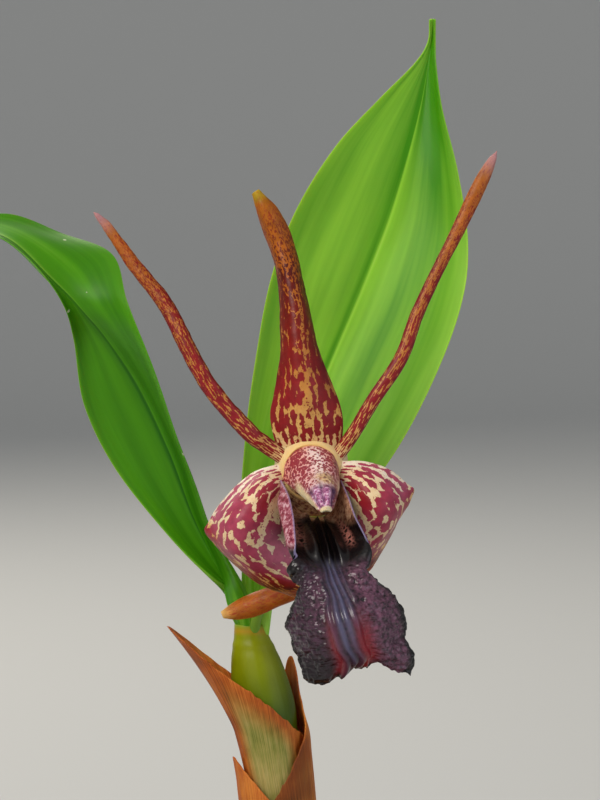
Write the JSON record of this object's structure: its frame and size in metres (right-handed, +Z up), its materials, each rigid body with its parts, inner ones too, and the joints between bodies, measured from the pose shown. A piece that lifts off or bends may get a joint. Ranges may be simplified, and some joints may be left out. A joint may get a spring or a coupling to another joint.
{
  "type": "potted orchid",
  "caption": "Flowering orchid with a spidery speckled bloom and a blackish lip, on a leafy pseudobulb rooted in bark chips in a plain tapered clay pot; stands on its flat base.",
  "frame": {"origin": "middle of the pot's flat underside", "axes": "+Z up; the flower faces -Y; +X is to the right of someone who looks at the flower"},
  "size_m": [0.096, 0.096, 0.2115],
  "materials": {
    "terracotta": "unglazed fired clay, matt and slightly dusty",
    "bark": "rough conifer bark chips",
    "rhizome": "papery brown scales and pale corky roots",
    "pseudobulb": "smooth waxy olive green skin",
    "sheath": "papery, ribbed, orange brown",
    "leaf": "leathery bright green with a soft sheen",
    "stalk": "smooth waxy pale green",
    "column": "waxy pinkish white with crimson dots",
    "lip": "glossy blackish purple with a lilac sheen and fine warts",
    "sepal": "waxy cream to orange with brick and rose maroon blotches",
    "petal": "waxy rust orange with brick maroon blotches"
  },
  "bodies": {
    "root": {"pot": "terracotta", "potting_bark": "bark", "rhizome": "rhizome", "pseudobulb": "pseudobulb", "pseudobulb_old": "pseudobulb", "sheath_lower": "sheath", "sheath_middle": "sheath", "sheath_upper": "sheath", "leaf_left": "leaf", "leaf_right": "leaf", "ovary_stalk": "stalk", "column": "column", "lip": "lip", "dorsal_sepal": "sepal", "lateral_sepal_left": "sepal", "lateral_sepal_right": "sepal", "petal_left": "petal", "petal_right": "petal"}
  },
  "joints": []
}
